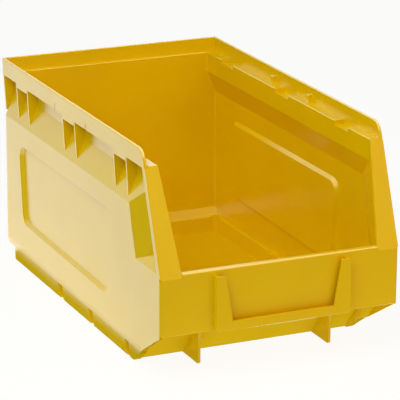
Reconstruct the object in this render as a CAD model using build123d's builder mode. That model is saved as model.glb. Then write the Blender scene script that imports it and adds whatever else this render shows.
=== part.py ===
from build123d import *
import os

# Open-fronted stackable storage bin, moulded in one piece of yellow polypropylene.
# Millimetres. X runs across the bin, Y from the open front to the back, Z up.
# The origin is the bottom centre of the bounding box. Profiles seen from the side are drawn as
# (depth, height): depth is measured backwards from the face of the front panel.
# The moulding is written as its named regions, which meet face to face.

# Overall size
WIDTH = 205.0
LENGTH = 350.0
HEIGHT = 182.0
WALL = 2.2
HOLDER_DEPTH = 6.0

HALF = WIDTH / 2
INNER_HALF = HALF - WALL
FRONT = HOLDER_DEPTH - (LENGTH + HOLDER_DEPTH) / 2
REAR_FACE = 346.2
REAR_INNER = REAR_FACE - WALL

# Side walls, from the foot up to the ledge
FOOT_TOP = 24.0
POCKET_FLOOR = 91.0
CREASE = 132.6
SHOULDER_LOW = 131.0
SHOULDER_TOP = 152.6
SHOULDER_SPLIT = 155.0
LEDGE_TOP = 169.5
LEDGE_THICK = 1.8
LEDGE_LOW = LEDGE_TOP - LEDGE_THICK
UPPER_HALF = 93.5
BEND_RADIUS = 4.0
CORNER_RADIUS = 5.0
BASE_RADIUS = 2.5

# The pieces of the side walls all lie further out than this
SIDE_HALF = 80.0

# Foot that drops inside the rim of the bin below
FOOT_HALF = 98.4
FOOT_STEP_HALF = 99.8
FOOT_STEP = 14.4
FOOT_SHOULDER_HALF = 101.6
FOOT_SHOULDER = 15.8
FOOT_BEND = 22.0
FOOT_FRONT = 65.5
FOOT_START = 70.0
FOOT_END = 325.0
FOOT_REAR = 338.0
WALL_END = 341.0
RAIL_INNER_HALF = 92.5
NECKS = ((70.5, 77.0), (147.5, 156.5), (215.8, 226.0))
NECK_DEPTH = 2.8

# Front
PANEL_LOW = 40.6
PANEL_TOP = 87.1
SLOPE_REAR = 33.0
SHELF_REAR = 34.5
FLANGE_TOP_DEPTH = 30.7
FLANGE_LIP = 5.5
OPENING_HALF_LOW = 84.0
OPENING_HALF_TOP = 91.3
JOG_DEPTH_LOW = 48.0
JOG_DEPTH_TOP = 67.7
JOG_OVERLAP = 6.5
POCKET_SLOPE = 1.0
BULGE_LOW = 76.0
BULGE_SLOPE = 0.5
EDGE_RADIUS = 2.0
INNER_RADIUS = 1.9
SMALL_RADIUS = 1.0
LIP_TOP = 90.6
LIP_DEPTH = 6.5
LIP_RADIUS = 1.7

# Plates under the front
SKIRT_THICK = 2.3
SKIRT_REAR = (52.3, 9.5)
COVE_RADIUS = 9.0
FIN_RADIUS = 2.0
FOOT_RADIUS = 8.0
FIN_THICK = 2.0
FIN_FRONT = 36.5
FINS = ((-53.3, "left"), (61.7, "right"))

# Recessed panel in the side wall, drawn as (depth, height) corners
RECESS = ((98.0, 115.0), (108.0, 41.5), (302.0, 44.5), (309.5, 114.0))
RECESS_CORNER = 11.0
RECESS_DEPTH = 3.0
RECESS_TAPER = 42.0

# Rim
BAND_THICK = 2.5
BAND_HALF = HALF - BAND_THICK
BAND_REAR = LENGTH - BAND_THICK
BAND_CORNER = 13.0
TAB_DROP = 3.6
TABS = ((68.3, 92.4), (178.0, 203.0), (288.0, 312.5))
WEB_THICK = 1.8
WEB_LOW = 136.5
WEB_LOW_HALF = 100.7
RIDGE_WIDTH = 1.2
RIDGE_HEIGHT = 0.6
PEG_DEPTHS = (152.0, 220.5)
PEG_WIDTH = 4.6
PEG_REACH = 3.4
PEG_TOP = 176.0
REAR_LIP_HALF = 62.5
REAR_LIP_LOW = 150.0
REAR_LIP_THICK = 2.0
REAR_LIP_RADIUS = 4.0
RIM_RADIUS = 0.9
LEDGE_RADIUS = 0.8
BAND_EDGE_RADIUS = 2.4
PEG_RADIUS = 1.0
NICK_RADIUS = 2.5
NICK_HEIGHT = 6.5
NICK_OFFSET = 2.2

# Label holder
LABEL_HALF = 57.7
LABEL_LOW = 41.0
LABEL_TOP = 86.0
LABEL_BAR_TOP = 48.6
LABEL_PLATE = 2.4
POST_INNER_TOP = 50.2
POST_INNER_LOW = 44.0

SIDES = ((-1, "left"), (1, "right"))


def side_plane(x):
    """Plane seen from the right: local x is depth, local y is height, normal +X."""
    return Plane(origin=(x, FRONT, 0), x_dir=(0, 1, 0), z_dir=(1, 0, 0))


def cross_plane(depth):
    """Plane across the bin: local x is X, local y is height, normal towards the front."""
    return Plane(origin=(0, FRONT + depth, 0), x_dir=(1, 0, 0), z_dir=(0, -1, 0))


def jog_depth(height):
    """Depth of the sloping front edge of the side wall at a height."""
    rise = (height - POCKET_FLOOR) / (LEDGE_TOP - POCKET_FLOOR)
    return JOG_DEPTH_LOW + rise * (JOG_DEPTH_TOP - JOG_DEPTH_LOW)


def flange_depth(height):
    """Depth of the sloping front face above the panel at a height."""
    return FLANGE_TOP_DEPTH * (height - PANEL_TOP) / (LEDGE_TOP - PANEL_TOP)


def flange_rear(height):
    """Depth of the rear face of the sloping front flange."""
    return flange_depth(height) + WALL * 1.07


def opening_half(height):
    """Half width of the front opening, which is also the inner edge of the flanges."""
    rise = (height - PANEL_TOP) / (LEDGE_TOP - PANEL_TOP)
    return OPENING_HALF_LOW + rise * (OPENING_HALF_TOP - OPENING_HALF_LOW)


def finish(piece, name):
    """Label a finished piece and write it."""
    piece.part.label = name
    export_step(piece.part, f"parts/{name}.step")


def prism(plane, corners, length):
    """Solid made by extruding a closed outline drawn on a plane."""
    with BuildPart() as block:
        with BuildSketch(plane):
            with BuildLine():
                Polyline(*corners, close=True)
            make_face()
        extrude(amount=length)
    return block.part


def side_slab(x_low, x_high, *corners):
    """Solid between two X positions with a side-view outline."""
    return prism(side_plane(x_low), corners, x_high - x_low)


def both_sides(x_low, x_high, *corners):
    """The same side-view outline on the left and on the right, keyed by side name."""
    return {
        "left": side_slab(-x_high, -x_low, *corners),
        "right": side_slab(x_low, x_high, *corners),
    }


def rectangle(depth_low, depth_high, height_low, height_high):
    """Corners of an upright rectangle in a side view."""
    return (
        (depth_low, height_low),
        (depth_high, height_low),
        (depth_high, height_high),
        (depth_low, height_high),
    )


def stepped(level, margin):
    """Side-view points of a level line that drops at every tab, widened by a margin."""
    points = []
    for start, end in TABS:
        points.append((start - margin, level))
        points.append((start - margin, level - TAB_DROP))
        points.append((end + margin, level - TAB_DROP))
        points.append((end + margin, level))
    return points


def section_form(inset, above):
    """Cross-section of the tub moved inwards by an inset, run through the whole length."""
    with BuildPart() as form:
        with BuildSketch(cross_plane(REAR_FACE)) as section:
            with BuildLine():
                Polyline(
                    (0, 0),
                    (FOOT_HALF, 0),
                    (FOOT_STEP_HALF, FOOT_STEP),
                    (FOOT_SHOULDER_HALF, FOOT_SHOULDER),
                    (HALF, FOOT_BEND),
                    (HALF, CREASE),
                    (UPPER_HALF, SHOULDER_TOP),
                    (UPPER_HALF, above),
                    (0, above),
                    close=True,
                )
            make_face()
            mirror(about=Plane.YZ)
            bends = section.vertices().group_by(Axis.Y)
            fillet(bends[0], BASE_RADIUS)
            fillet(bends[-3] + bends[-2], BEND_RADIUS)
            if inset:
                offset(amount=-inset, kind=Kind.INTERSECTION)
        extrude(amount=REAR_FACE + WALL)
    return form.part


def pocket_form(inset, floor_low, floor_slope):
    """Space of the right outer pocket, widened by an inset: behind the flange, in front of the
    diagonal wall and above a floor that rises inwards from a height at the outer face."""
    above = HEIGHT + 2 * WALL
    with BuildPart() as wedge:
        for height in (floor_low, above):
            edge = opening_half(height) + 1.08 * (WALL - inset)
            jog = jog_depth(height) + 2.4 * inset
            rear = flange_rear(height)
            beyond = jog + (jog - rear) * (WIDTH - HALF) / (HALF - edge)
            with BuildSketch(Plane.XY.offset(height)):
                with BuildLine():
                    Polyline(
                        (edge, FRONT - HOLDER_DEPTH),
                        (edge, FRONT + rear),
                        (WIDTH, FRONT + beyond),
                        (WIDTH, FRONT - HOLDER_DEPTH),
                        close=True,
                    )
                make_face()
        loft(ruled=True)
        with BuildSketch(cross_plane(-HOLDER_DEPTH)):
            with BuildLine():
                Polyline(
                    (SIDE_HALF, above),
                    (SIDE_HALF, floor_low + (HALF - SIDE_HALF) * floor_slope),
                    (HALF, floor_low),
                    (WIDTH, floor_low),
                    (WIDTH, above),
                    close=True,
                )
            make_face()
        extrude(amount=-2 * LENGTH, mode=Mode.INTERSECT)
    return wedge.part


def tub_form(inset):
    """Solid form of the tub moved inwards by an inset, running on above the ledge."""
    above = HEIGHT + 2 * WALL
    section = section_form(inset, above)
    with BuildPart() as form:
        add(section)
        with BuildSketch(side_plane(-HALF)) as outline:
            with BuildLine():
                Polyline(
                    (FOOT_FRONT, 0),
                    (FOOT_REAR - FOOT_STEP_HALF + FOOT_HALF, 0),
                    (FOOT_REAR, FOOT_STEP),
                    (FOOT_REAR + FOOT_SHOULDER_HALF - FOOT_STEP_HALF, FOOT_SHOULDER),
                    (REAR_FACE, FOOT_BEND),
                    (REAR_FACE, above),
                    (flange_depth(above), above),
                    (0, PANEL_TOP),
                    (0, PANEL_LOW),
                    (SLOPE_REAR, PANEL_LOW),
                    close=True,
                )
            make_face()
            fillet(outline.vertices().sort_by_distance((FOOT_FRONT, 0))[0], CORNER_RADIUS + WALL)
            fillet(outline.vertices().sort_by_distance((SLOPE_REAR, PANEL_LOW))[0], CORNER_RADIUS)
            fillet(outline.vertices().sort_by_distance((0, PANEL_LOW))[0], SMALL_RADIUS)
            if inset:
                offset(amount=-inset, kind=Kind.INTERSECTION)
        extrude(amount=WIDTH, mode=Mode.INTERSECT)
        rear_face = form.faces().sort_by(Axis.Y)[-1]
        rear_edges = rear_face.edges().filter_by(lambda e: abs(e.tangent_at(0.5).Z) > 0.3)
        fillet(rear_edges, INNER_RADIUS if inset else CORNER_RADIUS)
        # Rounded rear corners of the foot
        half = FOOT_STEP_HALF - inset
        rear = FRONT + FOOT_REAR - inset
        radius = FOOT_RADIUS - inset
        with BuildSketch():
            with BuildLine():
                Polyline(
                    (half, rear - radius),
                    (WIDTH, rear - radius),
                    (WIDTH, WIDTH),
                    (half - radius, WIDTH),
                    (half - radius, rear),
                )
                RadiusArc((half - radius, rear), (half, rear - radius), radius)
            make_face()
            mirror(about=Plane.YZ)
        extrude(amount=FOOT_STEP + inset, mode=Mode.SUBTRACT)
        # Recessed panel in each side wall
        for side, _ in SIDES:
            inward = Plane(origin=(side * (HALF - inset), FRONT, 0), x_dir=(0, -side, 0), z_dir=(-side, 0, 0))
            with BuildSketch(inward):
                with BuildLine():
                    Polyline(*[(-side * d, z) for d, z in RECESS], close=True)
                recess = make_face()
                fillet(recess.vertices(), RECESS_CORNER)
                if inset:
                    offset(amount=inset / 2)
            extrude(amount=RECESS_DEPTH, taper=RECESS_TAPER, mode=Mode.SUBTRACT)
        # Necks between the pads of the foot
        for start, end in NECKS:
            with BuildSketch(cross_plane(start - inset)):
                with BuildLine():
                    Polyline(
                        (FOOT_HALF - NECK_DEPTH - inset, 0),
                        (FOOT_STEP_HALF - NECK_DEPTH - inset, FOOT_STEP + inset),
                        (WIDTH, FOOT_STEP + inset),
                        (WIDTH, 0),
                        close=True,
                    )
                make_face()
                mirror(about=Plane.YZ)
            extrude(amount=start - end - 2 * inset, mode=Mode.SUBTRACT)
    return form.part


os.makedirs("parts", exist_ok=True)

# ---------------------------------------------------------------- moulded shell
whole = tub_form(0)
pocket = pocket_form(0, POCKET_FLOOR, POCKET_SLOPE)
bulge = pocket_form(WALL, BULGE_LOW, BULGE_SLOPE)
with BuildPart() as outer:
    add(whole)
    add([pocket, pocket.mirror(Plane.YZ)], mode=Mode.SUBTRACT)
with BuildPart() as inner:
    add(tub_form(WALL))
    add([bulge, bulge.mirror(Plane.YZ)], mode=Mode.SUBTRACT)
above = HEIGHT + 2 * WALL
mouth = prism(
    cross_plane(SLOPE_REAR),
    (
        (-OPENING_HALF_LOW, PANEL_TOP),
        (-opening_half(above), above),
        (opening_half(above), above),
        (OPENING_HALF_LOW, PANEL_TOP),
    ),
    SLOPE_REAR + WALL,
)
with BuildPart() as shell:
    add(outer.part)
    add(inner.part, mode=Mode.SUBTRACT)
    add(mouth, mode=Mode.SUBTRACT)


def shell_piece(region, name, *taken):
    """Part of the shell inside a region, less the pieces already taken from it."""
    with BuildPart() as piece:
        add(shell.part)
        add(region, mode=Mode.INTERSECT)
        for other in taken:
            add(other, mode=Mode.SUBTRACT)
    finish(piece, name)
    return piece.part


def jog_rear(height):
    """Depth where the side wall takes over from the diagonal pocket wall."""
    return jog_depth(height) + JOG_OVERLAP


with BuildPart() as front_panel:
    add(shell.part)
    add(side_slab(-HALF, HALF, *rectangle(-1, WALL, 0, PANEL_TOP)), mode=Mode.INTERSECT)
    fillet(front_panel.edges().filter_by(Axis.Z).group_by(Axis.Y)[0], EDGE_RADIUS)
finish(front_panel, "front_panel")
shell_piece(side_slab(-INNER_HALF, INNER_HALF, *rectangle(WALL, SHELF_REAR, -1, 60)), "front_shelf")
shell_piece(side_slab(-RAIL_INNER_HALF, RAIL_INNER_HALF, *rectangle(FOOT_START, FOOT_END, -1, 10)), "floor")
shell_piece(side_slab(-HALF, HALF, *rectangle(FOOT_END, LENGTH, -1, FOOT_TOP)), "rear_foot")
shell_piece(side_slab(-HALF, HALF, *rectangle(WALL_END, LENGTH, FOOT_TOP, LEDGE_LOW)), "rear_wall")

foot_corners = both_sides(RAIL_INNER_HALF, HALF, *rectangle(SHELF_REAR, FOOT_START, -1, FOOT_TOP))
shell_piece(
    side_slab(-INNER_HALF, INNER_HALF, *rectangle(SHELF_REAR, FOOT_START, -1, 60)),
    "front_slope",
    *foot_corners.values(),
)
foot_rails = both_sides(RAIL_INNER_HALF, HALF, *rectangle(FOOT_START, FOOT_END, -1, FOOT_TOP))
# Height where the rear face of the panel bends into the rear faces of the flanges
bend_height = PANEL_TOP - 0.07 * WALL * (LEDGE_TOP - PANEL_TOP) / FLANGE_TOP_DEPTH
front_sides = both_sides(
    INNER_HALF,
    HALF,
    (WALL, FOOT_TOP),
    (WALL, bend_height),
    (flange_rear(POCKET_FLOOR), POCKET_FLOOR),
    (FOOT_START, POCKET_FLOOR),
    (FOOT_START, FOOT_TOP),
)
walls = both_sides(
    SIDE_HALF,
    HALF,
    (FOOT_START, FOOT_TOP),
    (WALL_END, FOOT_TOP),
    (WALL_END, SHOULDER_LOW),
    (jog_rear(SHOULDER_LOW), SHOULDER_LOW),
    (jog_rear(POCKET_FLOOR), POCKET_FLOOR),
    (FOOT_START, POCKET_FLOOR),
)
shoulders = both_sides(
    SIDE_HALF,
    HALF,
    (WALL_END, SHOULDER_LOW),
    (jog_rear(SHOULDER_LOW), SHOULDER_LOW),
    (jog_rear(SHOULDER_SPLIT), SHOULDER_SPLIT),
    (WALL_END, SHOULDER_SPLIT),
)
upper_walls = both_sides(
    SIDE_HALF,
    HALF,
    (WALL_END, SHOULDER_SPLIT),
    (flange_rear(SHOULDER_SPLIT), SHOULDER_SPLIT),
    (flange_rear(LEDGE_LOW), LEDGE_LOW),
    *stepped(LEDGE_LOW, WEB_THICK),
    (WALL_END, LEDGE_LOW),
)
pocket_sides = both_sides(
    SIDE_HALF,
    HALF,
    (WALL, BULGE_LOW),
    (WALL, bend_height),
    (flange_rear(SHOULDER_SPLIT), SHOULDER_SPLIT),
    (jog_rear(SHOULDER_SPLIT), SHOULDER_SPLIT),
    (jog_rear(BULGE_LOW), BULGE_LOW),
)
pocket_floors = {}
for side, side_name in SIDES:
    shell_piece(foot_corners[side_name], f"{side_name}_foot_corner")
    shell_piece(foot_rails[side_name], f"{side_name}_foot_rail")
    shell_piece(walls[side_name], f"{side_name}_wall")
    shell_piece(shoulders[side_name], f"{side_name}_shoulder")
    shell_piece(upper_walls[side_name], f"{side_name}_upper_wall")
    # The solid floor of the pocket lies between its sloping top and the bulge seen inside
    with BuildPart() as floor_region:
        add(pocket_sides[side_name])
        with BuildSketch(cross_plane(0)):
            with BuildLine():
                Polyline(
                    (side * HALF, BULGE_LOW),
                    (side * HALF, POCKET_FLOOR),
                    (side * SIDE_HALF, POCKET_FLOOR + (HALF - SIDE_HALF) * POCKET_SLOPE),
                    (side * SIDE_HALF, BULGE_LOW + (HALF - SIDE_HALF) * BULGE_SLOPE),
                    close=True,
                )
            make_face()
        extrude(amount=-jog_depth(POCKET_FLOOR) - WALL, mode=Mode.INTERSECT)
    pocket_floors[side_name] = shell_piece(floor_region.part, f"{side_name}_pocket_floor")
    front_side = shell_piece(front_sides[side_name], f"{side_name}_front_side", pocket_floors[side_name])
    shell_piece(pocket_sides[side_name], f"{side_name}_pocket_wall", pocket_floors[side_name], front_side)

# ---------------------------------------------------------------- front
with BuildPart() as lip:
    add(side_slab(-OPENING_HALF_LOW, OPENING_HALF_LOW, *rectangle(0, LIP_DEPTH, PANEL_TOP, LIP_TOP)))
    fillet(lip.edges().filter_by(Axis.X).group_by(Axis.Z)[-1], LIP_RADIUS)
finish(lip, "front_lip")

flange_slab = side_slab(
    -HALF,
    HALF,
    (0, PANEL_TOP),
    (flange_depth(LEDGE_LOW), LEDGE_LOW),
    (flange_rear(LEDGE_LOW), LEDGE_LOW),
    (flange_rear(PANEL_TOP), PANEL_TOP),
)
for side, side_name in SIDES:
    with BuildPart() as flange:
        with BuildSketch(cross_plane(2 * SLOPE_REAR)):
            with BuildLine():
                Polyline(
                    (side * OPENING_HALF_LOW, PANEL_TOP),
                    (side * opening_half(LEDGE_LOW), LEDGE_LOW),
                    (side * HALF, LEDGE_LOW),
                    (side * HALF, PANEL_TOP),
                    close=True,
                )
            make_face()
        extrude(amount=2 * SLOPE_REAR + WALL)
        add(flange_slab, mode=Mode.INTERSECT)
        # Return lip that carries the rim band down the outer edge
        with BuildSketch(side_plane(side * HALF)):
            with BuildLine():
                Polyline(
                    (flange_depth(POCKET_FLOOR), POCKET_FLOOR),
                    (flange_depth(LEDGE_LOW), LEDGE_LOW),
                    (flange_depth(LEDGE_LOW) + FLANGE_LIP, LEDGE_LOW),
                    (flange_depth(POCKET_FLOOR) + FLANGE_LIP, POCKET_FLOOR),
                    close=True,
                )
            make_face()
        extrude(amount=-side * BAND_THICK)
        front_face = flange.faces().sort_by(Axis.Y)[0]
        slanted = front_face.edges().filter_by(lambda e: abs(e.tangent_at(0.5).X) < 0.3)
        fillet(slanted.sort_by(Axis.X)[-1 if side > 0 else 0], EDGE_RADIUS)
        fillet(slanted.sort_by(Axis.X)[0 if side > 0 else -1], SMALL_RADIUS)
        add(pocket_floors[side_name], mode=Mode.SUBTRACT)
    finish(flange, f"{side_name}_front_flange")

# ---------------------------------------------------------------- rim
for side, side_name in SIDES:
    # Ledge the bin above stands on, stepping down over the hand tabs
    low_line = [(flange_depth(LEDGE_LOW), LEDGE_LOW), *stepped(LEDGE_LOW, WEB_THICK), (BAND_REAR, LEDGE_LOW)]
    top_line = [(flange_depth(LEDGE_TOP), LEDGE_TOP), *stepped(LEDGE_TOP, 0), (BAND_REAR, LEDGE_TOP)]
    ridge_line = [(d, z + RIDGE_HEIGHT) for d, z in top_line]
    with BuildPart() as ledge:
        with BuildSketch(side_plane(side * (UPPER_HALF - WALL))):
            with BuildLine():
                Polyline(*low_line, *reversed(top_line), close=True)
            make_face()
        extrude(amount=side * (BAND_HALF - UPPER_HALF + WALL))
        inner_edges = ledge.edges().filter_by(Axis.Y).group_by(Axis.X)[0 if side > 0 else -1]
        fillet(inner_edges.group_by(Axis.Z)[-1], LEDGE_RADIUS)
        with BuildSketch(side_plane(side * (BAND_HALF - RIDGE_WIDTH))):
            with BuildLine():
                Polyline(*top_line, *reversed(ridge_line), close=True)
            make_face()
        extrude(amount=side * RIDGE_WIDTH)
    finish(ledge, f"{side_name}_ledge")

    # Upstanding band round the rim
    with BuildPart() as band:
        with BuildSketch(side_plane(side * BAND_HALF)) as outline:
            with BuildLine():
                Polyline(
                    (flange_depth(LEDGE_LOW), LEDGE_LOW),
                    *stepped(LEDGE_LOW, 0),
                    (LENGTH, LEDGE_LOW),
                    (LENGTH, HEIGHT),
                    (flange_depth(HEIGHT), HEIGHT),
                    close=True,
                )
            make_face()
            fillet(outline.vertices().sort_by_distance((flange_depth(HEIGHT), HEIGHT))[0], BAND_CORNER)
        extrude(amount=side * BAND_THICK)
        rear_corners = band.edges().filter_by(Axis.Z).sort_by(Axis.Y)[-2:]
        fillet(rear_corners.sort_by(Axis.X)[-1 if side > 0 else 0], BAND_EDGE_RADIUS)
        top_edges = band.faces().sort_by(Axis.Z)[-1].edges().filter_by(Axis.Y)
        fillet(top_edges, RIM_RADIUS)
        for peg_depth in PEG_DEPTHS:
            with Locations((side * (HALF + NICK_OFFSET), FRONT + peg_depth, LEDGE_TOP)):
                Cylinder(NICK_RADIUS, NICK_HEIGHT, mode=Mode.SUBTRACT)
    finish(band, f"{side_name}_rim_band")

    # Locating pegs on the inner face of the band
    with BuildPart() as pegs:
        for peg_depth in PEG_DEPTHS:
            with BuildSketch(side_plane(side * BAND_HALF)):
                with Locations((peg_depth, (LEDGE_TOP + PEG_TOP) / 2)):
                    Rectangle(PEG_WIDTH, PEG_TOP - LEDGE_TOP)
            extrude(amount=-side * PEG_REACH)
        fillet(pegs.edges().group_by(Axis.Z)[-1].group_by(Axis.X)[0 if side > 0 else -1], PEG_RADIUS)
        add(ledge.part, mode=Mode.SUBTRACT)
    finish(pegs, f"{side_name}_pegs")

    # Upright webs under the band at the ends of every tab and in the rear corner
    web_depths = [d for start, end in TABS for d in (start, end + WEB_THICK)]
    with BuildPart() as webs:
        for depth in [*web_depths, REAR_FACE]:
            with BuildSketch(cross_plane(depth)):
                with BuildLine():
                    Polyline(
                        (side * (UPPER_HALF - CORNER_RADIUS), WEB_LOW),
                        (side * (UPPER_HALF - CORNER_RADIUS), LEDGE_LOW),
                        (side * HALF, LEDGE_LOW),
                        (side * WEB_LOW_HALF, WEB_LOW),
                        close=True,
                    )
                make_face()
            extrude(amount=WEB_THICK)
        add(outer.part, mode=Mode.SUBTRACT)
        add(ledge.part, mode=Mode.SUBTRACT)
    finish(webs, f"{side_name}_webs")

with BuildPart() as rear_ledge:
    ledge_half = UPPER_HALF - WALL
    add(side_slab(-ledge_half, ledge_half, *rectangle(REAR_INNER, BAND_REAR, LEDGE_LOW, LEDGE_TOP)))
    fillet(rear_ledge.edges().filter_by(Axis.X).group_by(Axis.Z)[-1].sort_by(Axis.Y)[0], LEDGE_RADIUS)
finish(rear_ledge, "rear_ledge")

with BuildPart() as rear_band:
    add(side_slab(-BAND_HALF, BAND_HALF, *rectangle(BAND_REAR, LENGTH, LEDGE_LOW, HEIGHT)))
    fillet(rear_band.edges().filter_by(Axis.X).group_by(Axis.Z)[-1], RIM_RADIUS)
finish(rear_band, "rear_rim_band")

with BuildPart() as rear_lip:
    lip_outline = rectangle(LENGTH - REAR_LIP_THICK, LENGTH, REAR_LIP_LOW, LEDGE_LOW)
    add(side_slab(-REAR_LIP_HALF, REAR_LIP_HALF, *lip_outline))
    fillet(rear_lip.edges().filter_by(Axis.Y).group_by(Axis.Z)[0], REAR_LIP_RADIUS)
finish(rear_lip, "rear_hanging_lip")

# ---------------------------------------------------------------- under the front
solid_section = section_form(0, above)
hollow_section = section_form(SKIRT_THICK, above)
skirt_outline = ((0, PANEL_LOW), (SLOPE_REAR + WALL, PANEL_LOW), (FOOT_FRONT, SKIRT_REAR[1]), SKIRT_REAR)
cove_outline = ((0, PANEL_LOW), (FOOT_FRONT, PANEL_LOW), (FOOT_FRONT, 0), SKIRT_REAR)
for side, side_name in SIDES:
    # Hollow rounding between the sloping underside and the skirt
    corner = Plane(
        origin=(side * (HALF - SKIRT_THICK), FRONT + SLOPE_REAR, PANEL_LOW),
        x_dir=(-side, 0, 0),
        z_dir=(0, FOOT_FRONT - SLOPE_REAR, -PANEL_LOW),
    )
    with BuildPart() as skirt:
        with BuildSketch(corner):
            with BuildLine():
                Polyline((0, -side * COVE_RADIUS), (0, 0), (COVE_RADIUS, 0))
                RadiusArc((COVE_RADIUS, 0), (0, -side * COVE_RADIUS), side * COVE_RADIUS)
            make_face()
        extrude(amount=PANEL_LOW + FOOT_FRONT, both=True)
        add(prism(side_plane(0), cove_outline, side * HALF), mode=Mode.INTERSECT)
        add(prism(side_plane(0), skirt_outline, side * HALF) & solid_section - hollow_section)
        add(solid_section, mode=Mode.INTERSECT)
        add(outer.part, mode=Mode.SUBTRACT)
    finish(skirt, f"{side_name}_skirt")

for x, side_name in FINS:
    with BuildPart() as fin:
        fin_outline = (
            (FIN_FRONT, 0),
            (FIN_FRONT, PANEL_LOW + WALL),
            (FOOT_FRONT, PANEL_LOW),
            (FOOT_FRONT + WALL, 0),
        )
        add(side_slab(x - FIN_THICK / 2, x + FIN_THICK / 2, *fin_outline))
        fillet(fin.edges().filter_by(Axis.X).group_by(Axis.Z)[0].sort_by(Axis.Y)[0], FIN_RADIUS)
        add(outer.part, mode=Mode.SUBTRACT)
    finish(fin, f"{side_name}_fin")

# ---------------------------------------------------------------- label holder
# Three ribs stand off the panel and carry three face plates; the label drops in between.
RIB_DEPTH = HOLDER_DEPTH - LABEL_PLATE
RIB_HALF = LABEL_HALF - LABEL_PLATE
FACE_PLANE = cross_plane(-RIB_DEPTH)

with BuildPart() as face_bar:
    with BuildSketch(FACE_PLANE) as outline:
        with Locations((0, (LABEL_LOW + LABEL_BAR_TOP) / 2)):
            Rectangle(2 * LABEL_HALF, LABEL_BAR_TOP - LABEL_LOW)
        fillet(outline.vertices().group_by(Axis.Y)[0], 2)
    extrude(amount=LABEL_PLATE)
    fillet(face_bar.faces().sort_by(Axis.Y)[0].edges().filter_by(Axis.X).sort_by(Axis.Z)[0], LEDGE_RADIUS)
finish(face_bar, "label_face_bar")

with BuildPart() as bottom_rib:
    rib_low, rib_high = LABEL_LOW + 0.4, LABEL_LOW + LABEL_PLATE
    add(side_slab(-LABEL_HALF + 2, LABEL_HALF - 2, *rectangle(-RIB_DEPTH, 0, rib_low, rib_high)))
finish(bottom_rib, "label_bottom_rib")

for side, side_name in SIDES:
    with BuildPart() as face:
        with BuildSketch(FACE_PLANE) as outline:
            with BuildLine():
                Polyline(
                    (side * LABEL_HALF, LABEL_BAR_TOP),
                    (side * LABEL_HALF, LABEL_TOP),
                    (side * POST_INNER_TOP, LABEL_TOP),
                    (side * POST_INNER_LOW, LABEL_BAR_TOP),
                    close=True,
                )
            make_face()
            fillet(outline.vertices().group_by(Axis.Y)[-1], 1)
        extrude(amount=LABEL_PLATE)
    finish(face, f"label_{side_name}_face")
    with BuildPart() as rib:
        rib_from, rib_to = sorted((side * RIB_HALF, side * LABEL_HALF))
        add(side_slab(rib_from, rib_to, *rectangle(-RIB_DEPTH, 0, rib_high, LABEL_TOP)))
    finish(rib, f"label_{side_name}_rib")
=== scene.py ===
import math

import bpy
from mathutils import Matrix, Vector


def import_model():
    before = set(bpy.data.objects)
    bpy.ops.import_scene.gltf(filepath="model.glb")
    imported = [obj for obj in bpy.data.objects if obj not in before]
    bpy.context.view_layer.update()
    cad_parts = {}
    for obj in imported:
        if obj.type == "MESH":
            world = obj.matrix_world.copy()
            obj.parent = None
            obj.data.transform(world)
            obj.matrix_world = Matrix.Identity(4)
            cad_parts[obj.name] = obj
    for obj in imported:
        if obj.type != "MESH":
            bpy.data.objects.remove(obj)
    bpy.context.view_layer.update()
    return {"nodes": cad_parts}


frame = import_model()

# ---------------------------------------------------------------- camera
CAMERA_AT = Vector((-0.79455, -1.78161, 0.69746))
CAMERA_AZIMUTH = math.radians(24.241)
CAMERA_ELEVATION = math.radians(17.289)
CAMERA_ROLL = math.radians(0.267)
LENS_MM = 220.1
SENSOR_MM = 36.0

# ---------------------------------------------------------------- colours, linear
YELLOW = (0.83, 0.545, 0.0)
YELLOW_DEEP = (0.805, 0.525, 0.0)
YELLOW_PALE = (0.88, 0.7, 0.2)
# Colour of the painted highlight along the lower edge of the label holder
EDGE_HIGHLIGHT_PAINT = (0.95, 0.86, 0.5)

# Half sizes of the patch of floor the bin covers, metres
COVER_X = 0.1025
COVER_Y = 0.178

# Side of the square floor, metres
FLOOR_SIZE = 12.0

# The floor lies a hair below the bin's flat underside, so that the two faces don't flicker, metres
FLOOR_DROP = 0.0003


class Graph:
    """Small helper that adds nodes to a tree and links them."""

    def __init__(self, tree):
        self.tree = tree
        tree.nodes.clear()

    def add(self, kind, **settings):
        node = self.tree.nodes.new("ShaderNode" + kind)
        for name, value in settings.items():
            setattr(node, name, value)
        return node

    def link(self, source, target):
        self.tree.links.new(source, target)

    def value(self, socket, value):
        if isinstance(value, bpy.types.NodeSocket):
            self.link(value, socket)
        else:
            socket.default_value = value

    def math(self, operation, first, second=0.0, clamp=False):
        node = self.add("Math", operation=operation, use_clamp=clamp)
        self.value(node.inputs[0], first)
        self.value(node.inputs[1], second)
        return node.outputs[0]

    def ramp(self, factor, low, high, to_low=0.0, to_high=1.0):
        node = self.add("MapRange", interpolation_type="SMOOTHSTEP")
        self.value(node.inputs["Value"], factor)
        node.inputs["From Min"].default_value = low
        node.inputs["From Max"].default_value = high
        node.inputs["To Min"].default_value = to_low
        node.inputs["To Max"].default_value = to_high
        return node.outputs["Result"]

    def mix(self, factor, first, second):
        node = self.add("Mix", data_type="RGBA")
        self.value(node.inputs[0], factor)
        self.value(node.inputs[6], first)
        self.value(node.inputs[7], second)
        return node.outputs[2]

    def noise(self, vector, scale, detail=2.0, roughness=0.5):
        node = self.add("TexNoise")
        self.link(vector, node.inputs["Vector"])
        node.inputs["Scale"].default_value = scale
        node.inputs["Detail"].default_value = detail
        node.inputs["Roughness"].default_value = roughness
        return node.outputs["Fac"]

    def stretched(self, vector, factors):
        node = self.add("Mapping")
        self.link(vector, node.inputs["Vector"])
        node.inputs["Scale"].default_value = factors
        return node.outputs["Vector"]


def rgba(colour):
    return (*colour, 1.0)


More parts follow.
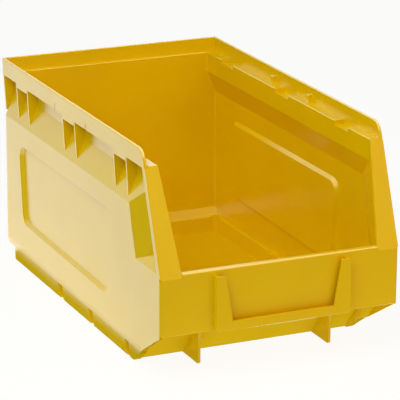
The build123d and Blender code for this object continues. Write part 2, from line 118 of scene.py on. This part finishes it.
def window(g, value, low, high, soft):
    """One between two limits and nothing outside them, with soft ends."""
    rise = g.ramp(value, low - soft, low)
    fall = g.ramp(value, high, high + soft, 1.0, 0.0)
    return g.math("MULTIPLY", rise, fall)


def moulded_plastic():
    """Glossy yellow polypropylene with faint flow marks, fine scuffs and a painted highlight line."""
    material = bpy.data.materials.new("moulded_yellow")
    material.use_nodes = True
    g = Graph(material.node_tree)
    place = g.add("TexCoord").outputs["Object"]

    clouds = g.noise(place, 18.0, 3.0)
    base = g.mix(g.ramp(clouds, 0.35, 0.7), rgba(YELLOW), rgba(YELLOW_DEEP))
    streaks = g.noise(g.stretched(place, (900.0, 60.0, 900.0)), 1.0, 3.0, 0.6)
    scuffs = g.math("MULTIPLY", g.ramp(streaks, 0.66, 0.8), g.ramp(clouds, 0.5, 0.7))
    base = g.mix(g.math("MULTIPLY", scuffs, 0.12), base, rgba(YELLOW_PALE))

    # Painted highlight: a whitish line along the lower edge of the label holder, standing in for light
    # caught by the rounded edge
    split = g.add("SeparateXYZ")
    g.link(place, split.inputs[0])
    along = window(g, split.outputs["X"], -0.022, 0.024, 0.006)
    edge = window(g, split.outputs["Z"], 0.040, 0.0416, 0.0003)
    front = g.ramp(split.outputs["Y"], -0.1755, -0.1765)
    ragged = g.ramp(g.noise(g.stretched(place, (160.0, 160.0, 500.0)), 1.0, 3.0, 0.7), 0.38, 0.5)
    painted_edge_highlight = g.math("MULTIPLY", g.math("MULTIPLY", along, edge), g.math("MULTIPLY", front, ragged))
    base = g.mix(g.math("MULTIPLY", painted_edge_highlight, 0.9), base, rgba(EDGE_HIGHLIGHT_PAINT))

    grain = g.noise(place, 1400.0, 2.0)
    satin = g.noise(place, 45.0, 3.0)
    roughness = g.math("ADD", g.ramp(satin, 0.3, 0.7, 0.2, 0.26), g.math("MULTIPLY", scuffs, 0.12))

    waves = g.noise(place, 16.0, 0.0)
    height = g.math("ADD", g.math("MULTIPLY", waves, 0.12), g.math("MULTIPLY", grain, 0.004))
    bump = g.add("Bump")
    bump.inputs["Strength"].default_value = 0.3
    bump.inputs["Distance"].default_value = 0.001
    g.link(height, bump.inputs["Height"])

    shader = g.add("BsdfPrincipled")
    g.link(base, shader.inputs["Base Color"])
    g.link(roughness, shader.inputs["Roughness"])
    g.link(bump.outputs["Normal"], shader.inputs["Normal"])
    shader.inputs["IOR"].default_value = 1.5
    g.link(shader.outputs[0], g.add("OutputMaterial").inputs["Surface"])
    return material


def floor_material():
    """Pale floor: nearly white to the camera, bright when mirrored in the plastic but dimmer in front
    of the bin, with a painted contact shadow darkening its mirrored image close to the bin, and a
    tinted bounce for diffuse light."""
    material = bpy.data.materials.new("floor")
    material.use_nodes = True
    g = Graph(material.node_tree)
    place = g.add("TexCoord").outputs["Object"]
    split = g.add("SeparateXYZ")
    g.link(place, split.inputs[0])

    diffuse = g.add("BsdfDiffuse")
    mottling = g.noise(place, 3.0)
    g.link(g.mix(mottling, (0.93, 0.93, 0.93, 1), (0.96, 0.96, 0.96, 1)), diffuse.inputs["Color"])

    beside = g.math("MAXIMUM", g.math("SUBTRACT", g.math("ABSOLUTE", split.outputs["X"]), COVER_X), 0.0)
    beyond = g.math("MAXIMUM", g.math("SUBTRACT", g.math("ABSOLUTE", split.outputs["Y"]), COVER_Y), 0.0)
    squares = g.math("ADD", g.math("MULTIPLY", beside, beside), g.math("MULTIPLY", beyond, beyond))
    distance = g.math("SQRT", squares)
    # Painted contact shadow: the floor's mirrored brightness fades out within about 12 mm of the bin's
    # footprint
    clear = g.ramp(distance, 0.004, 0.012)
    mirrored = g.add("Emission")
    sweep = g.math("SUBTRACT", split.outputs["Y"], g.math("MULTIPLY", beside, 1.9))
    behind = g.ramp(sweep, -0.26, -0.17, 0.03, 2.05)
    g.link(g.math("MULTIPLY", clear, behind), mirrored.inputs["Strength"])

    plain = g.add("Emission")
    plain.inputs["Strength"].default_value = 1.03
    bounce = g.add("Emission")
    bounce.inputs["Color"].default_value = (0.95, 0.97, 0.6, 1)
    g.link(g.ramp(distance, 0.03, 0.2, 1.25, 0.65), bounce.inputs["Strength"])
    path = g.add("LightPath")
    lit = g.add("MixShader")
    g.link(g.math("MULTIPLY", path.outputs["Is Diffuse Ray"], 0.8), lit.inputs[0])
    g.link(diffuse.outputs[0], lit.inputs[1])
    g.link(bounce.outputs[0], lit.inputs[2])
    seen = g.add("MixShader")
    g.link(g.math("MULTIPLY", path.outputs["Is Camera Ray"], 0.88), seen.inputs[0])
    g.link(lit.outputs[0], seen.inputs[1])
    g.link(plain.outputs[0], seen.inputs[2])
    join = g.add("MixShader")
    g.link(path.outputs["Is Glossy Ray"], join.inputs[0])
    g.link(seen.outputs[0], join.inputs[1])
    g.link(mirrored.outputs[0], join.inputs[2])
    g.link(join.outputs[0], g.add("OutputMaterial").inputs["Surface"])
    return material


def world():
    """Pale surroundings: light grey to the camera, a soft fill for diffuse light, and bright behind
    and overhead for gloss."""
    sky = bpy.data.worlds.new("studio")
    sky.use_nodes = True
    g = Graph(sky.node_tree)
    direction = g.add("TexCoord").outputs["Generated"]
    split = g.add("SeparateXYZ")
    g.link(direction, split.inputs[0])
    fill = g.add("Background")
    fill.inputs["Color"].default_value = (0.9, 0.96, 0.8, 1)
    fill.inputs["Strength"].default_value = 0.36
    gloss = g.add("Background")
    behind = g.ramp(split.outputs["Y"], 0.3, 0.7, 0.04, 2.1)
    overhead = g.ramp(split.outputs["Z"], 0.55, 0.8, 0.0, 6.0)
    g.link(g.math("ADD", behind, overhead), gloss.inputs["Strength"])
    seen = g.add("Background")
    seen.inputs["Strength"].default_value = 1.02
    path = g.add("LightPath")
    first = g.add("MixShader")
    g.link(path.outputs["Is Glossy Ray"], first.inputs[0])
    g.link(fill.outputs[0], first.inputs[1])
    g.link(gloss.outputs[0], first.inputs[2])
    second = g.add("MixShader")
    g.link(path.outputs["Is Camera Ray"], second.inputs[0])
    g.link(first.outputs[0], second.inputs[1])
    g.link(seen.outputs[0], second.inputs[2])
    g.link(second.outputs[0], g.add("OutputWorld").inputs["Surface"])
    return sky


def softbox(name, at, target, size, power, colour):
    light = bpy.data.lights.new(name, "AREA")
    light.shape = "RECTANGLE"
    light.size, light.size_y = size
    light.energy = power
    light.color = colour
    lamp = bpy.data.objects.new(name, light)
    bpy.context.scene.collection.objects.link(lamp)
    lamp.visible_camera = False
    lamp.location = at
    lamp.rotation_euler = (Vector(target) - Vector(at)).to_track_quat("-Z", "Y").to_euler()
    return lamp


def camera():
    data = bpy.data.cameras.new("camera")
    data.lens = LENS_MM
    data.sensor_width = SENSOR_MM
    data.clip_end = 50.0
    eye = bpy.data.objects.new("camera", data)
    bpy.context.scene.collection.objects.link(eye)
    forward = Vector((
        math.sin(CAMERA_AZIMUTH) * math.cos(CAMERA_ELEVATION),
        math.cos(CAMERA_AZIMUTH) * math.cos(CAMERA_ELEVATION),
        -math.sin(CAMERA_ELEVATION),
    ))
    right = forward.cross(Vector((0, 0, 1))).normalized()
    up = right.cross(forward)
    tilted_right = right * math.cos(CAMERA_ROLL) + up * math.sin(CAMERA_ROLL)
    tilted_up = up * math.cos(CAMERA_ROLL) - right * math.sin(CAMERA_ROLL)
    turn = Matrix((tilted_right, tilted_up, -forward)).transposed()
    eye.matrix_world = Matrix.Translation(CAMERA_AT) @ turn.to_4x4()
    bpy.context.scene.camera = eye


plastic = moulded_plastic()
for node in frame["nodes"].values():
    for index in range(len(node.material_slots)):
        node.material_slots[index].link = "OBJECT"
        node.material_slots[index].material = plastic

bpy.ops.mesh.primitive_plane_add(size=FLOOR_SIZE, location=(0, 0, -FLOOR_DROP))
floor = bpy.context.object
floor.name = "floor_plane"
floor.data.materials.append(floor_material())

bpy.context.scene.world = world()
softbox("key", (0.3, -0.75, 0.5), (0, -0.15, 0.08), (0.5, 0.5), 1.7, (1.0, 0.5, 0.15))
softbox("left", (-0.9, -0.6, 1.25), (0, 0, 0.1), (0.8, 0.8), 9.0, (0.93, 1.0, 0.82))
softbox("inside", (-0.09, -0.1, 0.42), (0.06, 0.12, 0.08), (0.3, 0.3), 0.22, (0.82, 1.0, 0.5))
camera()
bpy.context.scene.view_settings.view_transform = "Standard"
